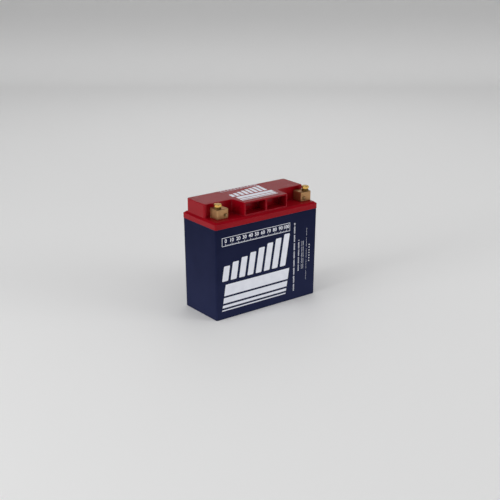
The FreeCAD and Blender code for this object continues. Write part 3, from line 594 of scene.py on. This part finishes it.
@dataclass
class TerminalBolt:
    """Hexagon-head bolt of one terminal, with a real helical thread.

    Heights count from the underside of the head. Powers say how sharply faces meet, counts how many rows a
    surface has, and step how far apart rows lie where the radius jumps.
    """

    terminal: Terminal
    head_turn: float
    flats: float = 10.0
    head_height: float = 4.0
    washer_face: float = 0.5
    crown_share: float = 0.93
    crown_slope: float = 30.0
    corner_power: float = 46.0
    crown_power: float = 60.0
    length: float = 14.0
    thread_radius: float = 2.95
    thread_depth: float = 0.42
    thread_pitch: float = 1.0
    runout: float = 0.7
    plain_share: float = 0.6
    tip_height: float = 0.9
    tip_share: float = 0.78
    step: float = 0.02
    columns: int = 144
    side_count: int = 26
    shank_count: int = 150
    # Dish in the top, from the middle out: radius as a share of the crown's, and height above its rim.
    dish: tuple[tuple[float, float], ...] = (
        (0.0, -0.22), (0.3, -0.22), (0.6, -0.22), (0.62, -0.17), (0.66, -0.03), (0.9, 0.0), (0.985, 0.0),
    )
    # Turned face under the hexagon, from the outside in: radius as a share of half the flats, and height.
    foot: tuple[tuple[float, float], ...] = ((0.965, 0.48), (0.95, 0.06), (0.93, 0.0))

    def axis(self) -> Array:
        """Point on the bolt's axis at the underside of its head, from the joint that turns it."""
        name = f"{self.terminal.value}_bolt_turn"
        return np.array(next(j for j in frame["joints"] if j["name"] == name)["pos_m"]) / MM

    def head_rows(self, angles: Array) -> tuple[Array, Array]:
        """Radius and height of the head's rows, from the middle of its top down to its washer face.

        The hexagon's radius is flats / 2 divided by the p-norm of the cosines to its six faces, which rounds
        its corners. The crown is a cone, and a second p-norm blends hexagon and cone.

        Args:
            angles: direction of each column, in radians.

        Returns:
            Radii as rows x columns and heights as rows.
        """
        half = self.flats / 2
        faces = np.radians(self.head_turn + 90 + 60 * np.arange(6))
        cosines = np.clip(np.cos(angles[:, None] - faces[None, :]), 0, None) ** self.corner_power
        hexagon = half / cosines.sum(axis=1) ** (1 / self.corner_power)
        sides = np.linspace(self.head_height - self.step, self.washer_face, self.side_count)
        crown = half * self.crown_share
        cone = crown + (self.head_height - sides) / math.tan(math.radians(self.crown_slope))
        power = self.crown_power
        walls = (hexagon[None, :] ** -power + cone[:, None] ** -power) ** (-1 / power)
        inner, dish_heights = np.array(self.dish).T
        shares, foot_heights = np.array(self.foot).T
        all_round = np.ones_like(angles)
        radii = np.vstack([np.outer(inner * crown, all_round), walls, np.outer(shares * half, all_round)])
        return radii, np.concatenate([self.head_height + dish_heights, sides, foot_heights])

    def shank_rows(self, angles: Array) -> tuple[Array, Array]:
        """Radius and height of the shank's rows: crest radius less a helical groove that fades at both ends.

        Args:
            angles: direction of each column, in radians.

        Returns:
            Radii as rows x columns and heights as rows.
        """
        heights = np.linspace(0.0, self.step - self.length, self.shank_count)
        above_end = self.length + heights
        turns = heights[:, None] / self.thread_pitch - angles[None, :] / (2 * math.pi)
        fade_in = np.clip(-heights / self.runout - self.plain_share, 0, 1)
        fade = fade_in * np.clip(above_end / self.runout, 0, 1)
        grooved = self.thread_radius - self.thread_depth * (1 - thread_wave(turns)) * fade[:, None]
        tip = np.clip(above_end / self.tip_height, 0, 1)[:, None]
        radii = grooved * (self.tip_share + (1 - self.tip_share) * tip)
        end = np.zeros((1, len(angles)))
        return np.vstack([radii, end]), np.append(heights, -self.length)

    def build(self) -> Piece:
        """Make the bolt, in place of its plain CAD node.

        Returns:
            The bolt, which rides on its own body.
        """
        angles = full_circle(self.columns)
        head, shank = self.head_rows(angles), self.shank_rows(angles)
        radii, heights = np.vstack([head[0], shank[0]]), np.concatenate([head[1], shank[1]])
        shape = grid_shape(turned(radii, heights, angles) + self.axis())
        body = f"{self.terminal.value}_bolt"
        made = shape.piece(f"{body}_threaded", body, BRIGHT_BRASS.material(), smooth_below=28)
        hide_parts(body)
        return made


@dataclass
class TerminalWasher:
    """Captive plain washer with tumbled edges."""

    terminal: Terminal
    width: float = 1.95
    edge: float = 0.28
    columns: int = 128

    def build(self) -> Piece:
        """Make the washer: a flat ring whose section is a rectangle with its corners cut by small rounds.

        Returns:
            The washer, in place of its plain CAD node.
        """
        node = f"{self.terminal.value}_washer"
        low, high = box_mm(node)
        outer, thickness = (high[0] - low[0]) / 2, high[2] - low[2]
        inner = outer - self.width
        corner = np.radians([0, 22.5, 45, 67.5, 90])
        across, down = self.edge * (1 - np.stack([np.cos(corner), np.sin(corner)]))
        radial = np.concatenate([outer - across, inner + across[::-1], inner + across, outer - across[::-1]])
        upright = np.concatenate([thickness - down, thickness - down[::-1], down, down[::-1]])
        ring = turned(radial[:, None], upright, full_circle(self.columns))
        middle = np.append((low + high)[:2] / 2, low[2])
        shape = grid_shape(ring + middle, close_rows=True)
        # Darker brass: painted shade under the bolt head.
        made = shape.piece(f"{node}_tumbled", node, DULL_SHADED_BRASS.material(), smooth_below=40)
        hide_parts(node)
        return made


@dataclass
class CableHoleThread:
    """Thread inside the cable hole in the front of one block: a sleeve against the wall, ridged inwards."""

    terminal: Terminal
    wall_radius: float = 2.5
    inner_gap: float = 0.02
    outer_gap: float = 0.005
    ridge: float = 0.42
    pitch: float = 1.25
    start: float = 0.3
    depth: float = 8.6
    runout: float = 0.5
    rows: int = 86
    columns: int = 72

    def build(self) -> Piece:
        """Make the sleeve, whose inner side is drawn in along a helix and runs out at both ends.

        Returns:
            The sleeve, in its hole.
        """
        angles = full_circle(self.columns)
        along = np.linspace(0.0, self.depth, self.rows)
        turns = along[:, None] / self.pitch - angles[None, :] / (2 * math.pi)
        fade = np.clip(np.minimum(along, self.depth - along) / self.runout, 0, 1)
        inner = self.wall_radius - self.inner_gap - self.ridge * thread_wave(turns) * fade[:, None]
        outer = np.full((2, self.columns), self.wall_radius - self.outer_gap)
        upright = turned(np.vstack([inner, outer]), np.append(along, [self.depth, 0.0]), angles)
        name = f"{self.terminal.value}_cable_hole"
        mouth = mount_mm(name)
        mouth[1] = box_mm(f"{self.terminal.value}_terminal_block")[0][1] + self.start
        shape = grid_shape(upright[..., [0, 2, 1]] + mouth, close_rows=True)
        made = shape.piece(f"{name}_thread", "battery", CUT_BRASS.material(), smooth_below=50)
        return made


# -------- printing
def rounded(corners: Array, radius: float, steps: int = 5, most: float = 0.45) -> Array:
    """Round the corners of outlines.

    Each corner becomes a quadratic Bezier curve, (1-t)^2 A + 2t(1-t) C + t^2 B, between the points A and B
    that lie one radius before and after the corner C.

    Args:
        corners: outlines x corners x 2, in order.
        radius: how far from the corner each curve starts.
        steps: points on each curve.
        most: the largest share of the shorter side that a curve takes.

    Returns:
        Outlines x (corners * steps) x 2.
    """
    back = np.roll(corners, 1, axis=1) - corners
    ahead = np.roll(corners, -1, axis=1) - corners
    lengths = [np.linalg.norm(side, axis=-1, keepdims=True) for side in (back, ahead)]
    reach = np.minimum(radius, most * np.minimum(*lengths))
    first = (corners + back / lengths[0] * reach)[:, :, None]
    second = (corners + ahead / lengths[1] * reach)[:, :, None]
    t = np.linspace(0, 1, steps)[None, None, :, None]
    curve = (1 - t) ** 2 * first + 2 * t * (1 - t) * corners[:, :, None] + t ** 2 * second
    return curve.reshape(len(corners), -1, 2)


def bars(lefts: Array, rights: Array, lows: Array, highs: Array, lean: float = 0.0) -> Array:
    """Corners of a row of upright bars.

    Args:
        lefts, rights: sides of each bar at the height where the lean is nothing.
        lows, highs: lower and upper end of each bar.
        lean: how far a bar moves right for each millimetre up, counted from the lowest end of all.

    Returns:
        Outlines x 4 x 2, anticlockwise.
    """
    foot = np.min(lows)
    low, high = lean * (lows - foot), lean * (highs - foot)
    across = np.stack([lefts + low, rights + low, rights + high, lefts + high], axis=1)
    return np.stack([across, np.stack([lows, lows, highs, highs], axis=1)], axis=-1)


@dataclass(frozen=True)
class Ink:
    """Film of printing ink: how far it stands off its surface, how thick it is and how its digits are drawn.

    The digits are drawn at font_size, grown by boldness to every side, and then scaled to their height and to
    the film's thickness.
    """

    gap: float = 0.02
    thickness: float = 0.05
    font_size: float = 10.0
    font_depth: float = 0.5
    boldness: float = 0.2
    curve_steps: int = 4

    def film(self, outlines: Array) -> Shape:
        """Closed flat prisms over outlines of the same number of points.

        Args:
            outlines: outlines x points x 2.

        Returns:
            Their upper faces, lower faces and side walls, in the print's own plane.
        """
        count, size = outlines.shape[:2]
        heights = self.gap + self.thickness, self.gap
        layers = [np.insert(outlines, 2, height, axis=-1) for height in heights]
        points = np.concatenate(layers, axis=1).reshape(-1, 3)
        ring = np.arange(size)
        after = (ring + 1) % size
        sides = np.stack([ring, ring + size, after + size, after], axis=-1)
        faces: list[tuple[int, ...]] = []
        for start in range(0, count * size * 2, size * 2):
            faces.append(tuple((start + ring).tolist()))
            faces.append(tuple((start + size + ring[::-1]).tolist()))
            faces.extend(tuple(side) for side in (start + sides).tolist())
        return Shape(points, faces)

    def number(self, value: int, centre: float, foot: float, height: float) -> Shape:
        """A plain number, centred and standing on a line.

        Args:
            value: what it says.
            centre: middle of the number along the line.
            foot: height of the line.
            height: height of its digits.

        Returns:
            The number's faces, in the print's own plane.
        """
        curve = bpy.data.curves.new(f"number_{value}", "FONT")
        curve.body = str(value)
        curve.size = self.font_size
        curve.resolution_u = self.curve_steps
        curve.offset = self.boldness
        curve.extrude = self.font_depth
        source = put(curve.name, curve)
        mesh = source.to_mesh()
        points = np.empty(len(mesh.vertices) * 3)
        mesh.vertices.foreach_get("co", points)
        points = points.reshape(-1, 3)
        faces = [tuple(face.vertices) for face in mesh.polygons]
        source.to_mesh_clear()
        bpy.data.objects.remove(source)
        bpy.data.curves.remove(curve)
        low, high = points.min(axis=0), points.max(axis=0)
        scale = height / (high[1] - low[1])
        flat = (points[:, :2] - [(low[0] + high[0]) / 2, low[1]]) * scale + [centre, foot]
        lift = self.gap + self.thickness * (points[:, 2:] - low[2]) / (high[2] - low[2])
        return Shape(np.hstack([flat, lift]), faces)


@dataclass
class LevelScale:
    """Printed scale of a level meter: a thin frame with ticks along its foot and plain numbers above them."""

    left: float
    right: float
    low: float
    high: float
    line: float
    margin: float
    tick: float
    number_height: float
    full: int = 100
    number_step: int = 10
    per_step: int = 4
    short_share: float = 0.5

    def frame_bars(self) -> Array:
        """Corners of the frame's foot, head and two sides.

        Returns:
            Outlines x 4 x 2.
        """
        left, right, low, high, line = self.left, self.right, self.low, self.high, self.line
        lefts = np.array([left, left, left, right - line])
        rights = np.array([right, right, left + line, right])
        lows = np.array([low, high - line, low + line, low + line])
        highs = np.array([low + line, high, high - line, high - line])
        return bars(lefts, rights, lows, highs)

    def shape(self, ink: Ink) -> Shape:
        """Frame, ticks and numbers.

        Args:
            ink: what they are printed with.

        Returns:
            Their faces, in the print's own plane.
        """
        steps = self.full // self.number_step * self.per_step
        places = np.linspace(self.left + self.margin, self.right - self.margin, steps + 1)
        long = np.arange(len(places)) % self.per_step == 0
        lows = np.full(len(places), self.low + self.line)
        half = self.line / 2
        tall = np.where(long, self.tick, self.tick * self.short_share)
        ticks = bars(places - half, places + half, lows, lows + tall)
        made = ink.film(np.vstack([self.frame_bars(), ticks]))
        foot = (self.low + self.line + self.tick + self.high - self.line - self.number_height) / 2
        for index, place in enumerate(places[long]):
            made = made + ink.number(index * self.number_step, float(place), foot, self.number_height)
        return made


@dataclass
class LevelBars:
    """Printed row of leaning level bars that grow from left to right.

    The gap is a share of the distance from bar to bar, and first is the first bar's share of the full height.
    """

    left: float
    right: float
    low: float
    high: float
    count: int = 8
    gap: float = 0.3
    first: float = 0.46
    lean: float = 0.16
    corner: float = 1.6

    def outlines(self) -> Array:
        """Bars whose heights rise in equal steps to the full height.

        Returns:
            Outlines x points x 2.
        """
        step = (self.right - self.left - self.lean * (self.high - self.low)) / (self.count - self.gap)
        lefts = self.left + step * np.arange(self.count)
        highs = self.low + (self.high - self.low) * np.linspace(self.first, 1.0, self.count)
        corners = bars(lefts, lefts + step * (1 - self.gap), np.full(self.count, self.low), highs, self.lean)
        return rounded(corners, self.corner)


@dataclass
class Stripes:
    """Printed stripes with slanted ends, each thinner than the one above."""

    left: float
    right: float
    top: float
    widths: tuple[float, ...]
    gap: float
    lean: float = 0.16

    def outlines(self) -> Array:
        """Stripes from the top down.

        Returns:
            Outlines x 4 x 2.
        """
        widths = np.array(self.widths)
        highs = self.top - np.concatenate([[0.0], np.cumsum(widths[:-1] + self.gap)])
        lows = highs - widths
        lefts = np.full(len(widths), self.left)
        reach = self.lean * (self.top - lows.min())
        return bars(lefts, np.full(len(widths), self.right - reach), lows, highs, self.lean)


@dataclass
class RuledColumn:
    """Upright printed rule made of short dashes, as fine as a ruler's edge."""

    place: float
    low: float
    high: float
    width: float
    dash: float
    gap: float
    left_out: int = 7

    def outlines(self) -> Array:
        """Dashes of equal length, of which every left_out-th one is missing.

        Returns:
            Outlines x 4 x 2.
        """
        lows = np.arange(self.low, self.high - self.dash, self.dash + self.gap)
        lows = lows[(np.arange(len(lows)) + 1) % self.left_out != 0]
        half = np.full(len(lows), self.width / 2)
        return bars(self.place - half, self.place + half, lows, lows + self.dash)


@dataclass
class FrontPrint:
    """Everything printed on the case's front: scale, level bars, stripes and the rules beside them."""

    ink: Ink = Ink()
    left: float = -82.0
    right: float = 41.0
    draft: float = 1.15
    squares_place: float = 79.0
    squares_low: float = 56.0
    squares_high: float = 81.5
    squares_count: int = 7
    square: float = 1.7
    square_corner: float = 0.35

    def place(self, shape: Shape) -> Shape:
        """Lay a shape on the front face, which leans out by the draft from base to rim.

        Args:
            shape: points as right, up and off the surface.

        Returns:
            The shape in the part's frame.
        """
        front, rim = box_mm("case")[0][1], box_mm("cover")[0][2]
        right, up, off = shape.points.T
        face = front + self.draft * (1 - up / rim)
        return Shape(np.stack([right, face - off, up], axis=-1), shape.faces)

    def build(self) -> list[Piece]:
        """Make the print on the front.

        Returns:
            Its pieces: scale, level bars, stripes, and the rules beside them.
        """
        scale = LevelScale(
            self.left, self.right, low=110.4, high=123.2, line=0.7, margin=6.6, tick=2.4, number_height=5.5
        )
        level_bars = LevelBars(self.left, self.right, low=58.0, high=107.0)
        stripes = Stripes(self.left, self.right, top=52.5, widths=(17.0, 8.5, 4.0, 1.8), gap=2.9)
        layers = {
            "front_level_scale": scale.shape(self.ink),
            "front_level_bars": self.ink.film(level_bars.outlines()),
            "front_stripes": self.ink.film(stripes.outlines()),
            "side_rules": self.side_rules(),
        }
        ink = PRINT_INK.material()
        return [self.place(shape).piece(name, "battery", ink) for name, shape in layers.items()]

    def side_rules(self) -> Shape:
        """Rules and small squares in the column beside the main print.

        Returns:
            Their faces, in the print's own plane.
        """
        columns = [
            RuledColumn(50.0, low=14.0, high=122.0, width=2.2, dash=1.1, gap=0.75),
            RuledColumn(58.5, low=44.0, high=93.0, width=2.0, dash=0.9, gap=0.8),
            RuledColumn(64.6, low=46.0, high=91.0, width=1.1, dash=0.6, gap=0.7),
            RuledColumn(67.4, low=46.0, high=91.0, width=1.1, dash=0.6, gap=0.7),
            RuledColumn(73.5, low=27.0, high=109.0, width=0.5, dash=1.6, gap=0.9),
        ]
        rules = np.vstack([column.outlines() for column in columns])
        middles = np.linspace(self.squares_low, self.squares_high, self.squares_count)
        places = np.full(self.squares_count, self.squares_place)
        half = self.square / 2
        squares = bars(places - half, places + half, middles - half, middles + half)
        return self.ink.film(rules) + self.ink.film(rounded(squares, self.square_corner))


@dataclass
class DeckPrint:
    """Smaller level bars, stripes and scale on top of the raised deck."""

    ink: Ink = Ink()
    left: float = -35.0
    right: float = 33.0

    def build(self) -> Piece:
        """Make the print, laid flat with its foot towards the front.

        Returns:
            The print as one piece.
        """
        deck = box_mm("cover")[1][2]
        level_bars = LevelBars(self.left, self.right, low=-2.0, high=25.0, corner=1.0)
        stripes = Stripes(self.left, self.right, top=-5.5, widths=(9.0, 5.0, 2.2), gap=1.9)
        scale = LevelScale(
            self.left, self.right, low=27.5, high=34.5, line=0.4, margin=3.6, tick=1.2, number_height=3.0
        )
        ink = self.ink
        flat = ink.film(level_bars.outlines()) + ink.film(stripes.outlines()) + scale.shape(ink)
        laid = Shape(flat.points + [0.0, 0.0, deck], flat.faces)
        return laid.piece("deck_print", "battery", PRINT_INK.material())


# -------- studio
@dataclass(frozen=True)
class Lamp:
    """Soft square area lamp aimed at the middle of the part, seen in glossy surfaces or not."""

    name: str
    place: tuple[float, float, float]
    size: float
    watts: float
    mirrored: bool = True
    aim: tuple[float, float, float] = (0.0, 0.0, 0.08)

    def build(self) -> None:
        """Make the lamp and aim it."""
        data = bpy.data.lights.new(self.name, "AREA")
        data.size = self.size
        data.energy = self.watts
        lamp = put_aimed(self.name, data, Vector(self.place), Vector(self.aim))
        lamp.visible_glossy = self.mirrored


@dataclass
class Studio:
    """Pale seamless floor and backdrop, soft lamps and a surround.

    The two strong lamps aren't mirrored, because the glossy deck would turn white wherever it is seen from
    across one of them. Weaker lamps near them, the cards, give the gloss and the brass something to mirror.
    The surround has one strength as light, another in mirrors and a third, seen, to the camera. The first
    two change over FADE_SPAN, between heights that count 0 at the horizon and 1 at the zenith.
    """

    floor_half: float = 4.0
    wall_distance: float = 1.9
    wall_height: float = 1.5
    cove_radius: float = 0.25
    cove_steps: int = 12
    floor_colour: str = "#f2f2f2"
    wall_colour: str = "#d6d6d6"
    paper_roughness: float = 0.9
    paper_specular: float = 0.2
    surround_colour: str = "#fafafa"
    seen: float = 0.62
    lamps: tuple[Lamp, ...] = (
        Lamp("left_lamp", (-2.1, 0.05, 0.5), size=0.8, watts=15.2, mirrored=False),
        Lamp("left_card", (-2.1, -0.2, 0.7), size=1.7, watts=7.0),
        Lamp("right_front_lamp", (1.5, -1.9, 0.6), size=1.2, watts=17.8, mirrored=False),
        Lamp("front_card", (0.6, -2.3, 0.55), size=1.2, watts=2.0),
        Lamp("back_lamp", (0.9, 1.2, 1.15), size=0.8, watts=2.2),
    )

    # Heights between which the surround's strength changes, and the strengths below and above them.
    FADE_SPAN = {"From Min": 0.15, "From Max": 0.6}
    LIGHT = {"To Min": 0.0, "To Max": 0.67}
    MIRRORED = {"To Min": 0.25, "To Max": 0.03}

    def build(self) -> None:
        """Make the floor, the lamps and the surround."""
        self.build_backdrop()
        for lamp in self.lamps:
            lamp.build()
        self.build_surround()

    def build_backdrop(self) -> None:
        """Sheet of paper: flat floor, quarter-round cove and upright wall, square to the camera's heading."""
        angles = np.linspace(0, math.pi / 2, self.cove_steps)
        run = np.concatenate([[-self.floor_half], self.wall_distance + self.cove_radius * np.sin(angles)])
        rise = np.concatenate([[0.0], self.cove_radius * (1 - np.cos(angles))])
        run, rise = np.append(run, run[-1]), np.append(rise, self.wall_height)
        side = np.array([-self.floor_half, self.floor_half])
        heading = math.radians(Viewpoint().heading)
        forward = np.array([math.sin(heading), math.cos(heading)])
        across = np.array([forward[1], -forward[0]])
        flat = run[:, None, None] * forward + side[None, :, None] * across
        points = np.concatenate([flat, np.broadcast_to(rise[:, None, None], (len(run), 2, 1))], axis=-1)
        faces = 2 * np.arange(len(run) - 1)[:, None] + [0, 1, 3, 2]
        mesh = bpy.data.meshes.new("studio_paper")
        mesh.from_pydata(points.reshape(-1, 3), [], faces.tolist())
        mesh.shade_smooth()
        mesh.materials.append(self.paper_material())
        paper = put("studio_paper", mesh)

    def paper_material(self) -> Material:
        """Make the matt paper, pale where it lies and darker where it stands.

        Returns:
            The paper's material, whose colour changes over the cove.
        """
        material = bpy.data.materials.new("matt_paper")
        material.use_nodes = True
        tree = material.node_tree
        place = add(tree, "TexCoord").outputs["Object"]
        height = add(tree, "SeparateXYZ", None, {"Vector": place}).outputs["Z"]
        cove = {"Value": height, "From Max": self.cove_radius}
        share = add(tree, "MapRange", EASED, cove).outputs["Result"]
        sides = {SHARE: share, COLOUR_A: linear(self.floor_colour), COLOUR_B: linear(self.wall_colour)}
        feed(tree.nodes["Principled BSDF"], {
            "Base Color": add(tree, "Mix", MIX_COLOURS, sides).outputs[COLOUR_RESULT],
            "Roughness": self.paper_roughness,
            "Specular IOR Level": self.paper_specular,
        })
        return material

    def build_surround(self) -> None:
        """Surround: plain and pale to the camera, and otherwise fading from the horizon to the zenith."""
        world = bpy.data.worlds.new("studio_surround")
        bpy.context.scene.world = world
        world.use_nodes = True
        tree = world.node_tree
        direction = add(tree, "TexCoord").outputs["Generated"]
        height = add(tree, "SeparateXYZ", None, {"Vector": direction}).outputs["Z"]
        path = add(tree, "LightPath").outputs
        strength, mirrored = (
            add(tree, "MapRange", EASED, self.FADE_SPAN | ends | {"Value": height}).outputs["Result"]
            for ends in (self.LIGHT, self.MIRRORED)
        )
        rays = {"Is Glossy Ray": mirrored, "Is Transmission Ray": mirrored, "Is Camera Ray": self.seen}
        for ray, shown in rays.items():
            sides = {SHARE: path[ray], NUMBER_A: strength, NUMBER_B: shown}
            strength = add(tree, "Mix", None, sides).outputs[NUMBER_RESULT]
        feed(tree.nodes["Background"], {"Color": linear(self.surround_colour), "Strength": strength})


@dataclass(frozen=True)
class Viewpoint:
    """Camera off the part's front left corner, a little above it.

    The heading is where it looks, in degrees from +Y towards +X. Only the nearest and the farthest distance
    that it sees are in metres.
    """

    heading: float = 37.28
    place: tuple[float, float, float] = (-825.3, -1081.5, 548.0)
    target: tuple[float, float, float] = (-2.0, 0.0, 78.5)
    lens: float = 69.7
    nearest: float = 0.01
    farthest: float = 50.0

    def build(self) -> None:
        """Make the camera and give it to the scene."""
        data = bpy.data.cameras.new("camera")
        data.lens = self.lens
        data.clip_start = self.nearest
        data.clip_end = self.farthest
        place, target = Vector(self.place) * MM, Vector(self.target) * MM
        bpy.context.scene.camera = put_aimed("camera", data, place, target)


# How far each bolt's hexagon stands turned at rest, in degrees.
HEAD_TURNS = {Terminal.NEGATIVE: 11.0, Terminal.POSITIVE: 15.0}


def main() -> None:
    """Build the camera and studio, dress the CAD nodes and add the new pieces."""
    logging.basicConfig(level=logging.INFO, format="%(name)s: %(message)s")
    bpy.context.scene.view_settings.view_transform = "Standard"
    Viewpoint().build()
    Studio().build()
    dress_cad_nodes()
    pieces: list[Piece] = []
    for terminal, turn in HEAD_TURNS.items():
        pieces.append(TerminalBolt(terminal, turn).build())
        pieces.append(TerminalWasher(terminal).build())
        pieces.append(CableHoleThread(terminal).build())
    pieces += [*FrontPrint().build(), DeckPrint().build()]
    for piece in pieces:
        LOG.info("%s: %d faces", piece.name, len(piece.data.polygons))


if __name__ == "__main__":
    main()
